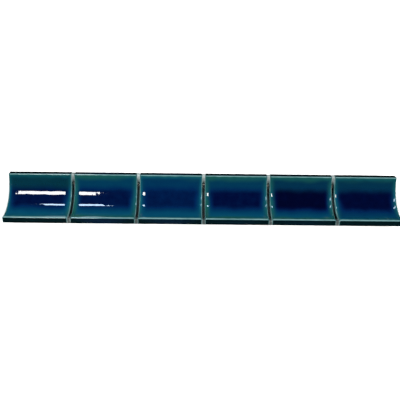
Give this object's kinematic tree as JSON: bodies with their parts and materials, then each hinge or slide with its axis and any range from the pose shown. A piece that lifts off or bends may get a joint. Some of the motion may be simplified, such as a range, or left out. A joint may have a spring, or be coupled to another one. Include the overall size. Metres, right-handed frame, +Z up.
{
  "type": "porcelain cove mosaic tile strip",
  "caption": "Strip of hollow-faced glazed porcelain mosaic tiles, held end to end by resin dots, that rounds off an inside corner of a pool or a wall.",
  "frame": {"origin": "middle of the strip, on the plane that its flat back lies on", "axes": "+X along the strip, +Y across it, +Z up out of the hollow"},
  "size_m": [0.298, 0.0412, 0.0116],
  "materials": {
    "glazed_porcelain": "deep blue-green gloss glaze that pools dark in the hollow and breaks pale on the edges",
    "joint_resin": "satin, slightly milky"
  },
  "bodies": {
    "root": {"cove_tile_1": "glazed_porcelain", "cove_tile_2": "glazed_porcelain", "cove_tile_3": "glazed_porcelain", "cove_tile_4": "glazed_porcelain", "cove_tile_5": "glazed_porcelain", "cove_tile_6": "glazed_porcelain", "joint_dot_front_1": "joint_resin", "joint_dot_front_2": "joint_resin", "joint_dot_front_3": "joint_resin", "joint_dot_front_4": "joint_resin", "joint_dot_front_5": "joint_resin", "joint_dot_back_1": "joint_resin", "joint_dot_back_2": "joint_resin", "joint_dot_back_3": "joint_resin", "joint_dot_back_4": "joint_resin", "joint_dot_back_5": "joint_resin"}
  },
  "joints": []
}
